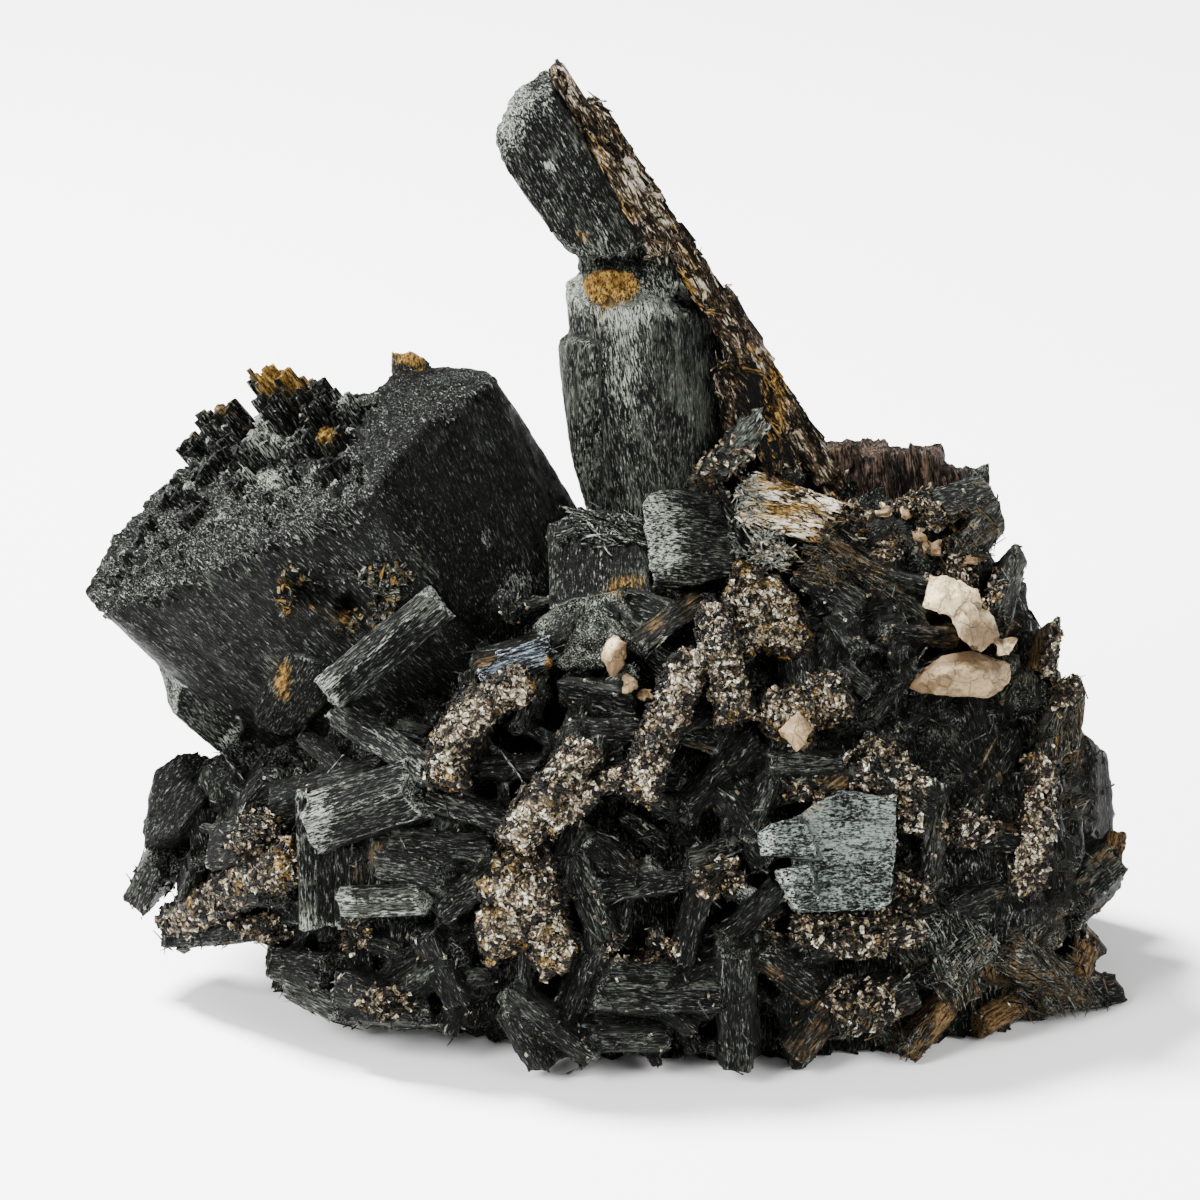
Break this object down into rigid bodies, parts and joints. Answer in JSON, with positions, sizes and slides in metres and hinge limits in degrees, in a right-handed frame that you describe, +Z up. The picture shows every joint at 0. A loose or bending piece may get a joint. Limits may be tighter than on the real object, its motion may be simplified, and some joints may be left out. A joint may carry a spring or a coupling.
{
  "type": "amphibole crystal cluster",
  "caption": "Dark grey-green fibrous amphibole crystals grown together on a rusty mass of small prisms, with cream feldspar, resting on a flat broken underside.",
  "frame": {"origin": "on the flat broken underside, on the line that the tall crystal stands near", "axes": "+Z up from the underside; +X to the viewer's right, away from the stout crystal; -Y towards the viewer"},
  "size_m": [0.1034, 0.0682, 0.0929],
  "materials": {
    "grey_amphibole": "fibrous, dull, frosted along its edges",
    "black_amphibole": "fine fibres along each prism, satin",
    "matrix_amphibole": "jumbled fibrous prisms, dull with rusty patches",
    "glossy_amphibole": "fresh cleavage, glassy",
    "pale_amphibole": "weathered pale, fibrous, matt",
    "rusty_amphibole": "split blades stained orange and brown, matt",
    "brown_amphibole": "weathered dark brown, matt",
    "granular_crust": "sugary tan, white and black grains",
    "feldspar": "cream, blocky, slightly waxy"
  },
  "bodies": {
    "root": {"stout_crystal": "grey_amphibole", "tall_crystal": "grey_amphibole", "squat_crystal": "grey_amphibole", "hexagonal_crystal": "grey_amphibole", "leaning_prism": "black_amphibole", "crossing_prism": "black_amphibole", "broad_prism": "black_amphibole", "low_prism": "black_amphibole", "upright_lath": "black_amphibole", "dark_prism": "black_amphibole", "matrix": "matrix_amphibole", "glossy_crystal": "glossy_amphibole", "pale_plate": "pale_amphibole", "rusty_slab": "rusty_amphibole", "frayed_crystal": "rusty_amphibole", "brown_block": "brown_amphibole", "coated_rod_upper": "granular_crust", "coated_rod_middle": "granular_crust", "coated_rod_right": "granular_crust", "coated_rod_short": "granular_crust", "coated_rod_left": "granular_crust", "coated_rod_flank": "granular_crust", "coated_lump": "granular_crust", "coated_cluster": "granular_crust", "coated_knot": "granular_crust", "feldspar_star": "feldspar", "feldspar_bean": "feldspar", "feldspar_chip": "feldspar"}
  },
  "joints": []
}
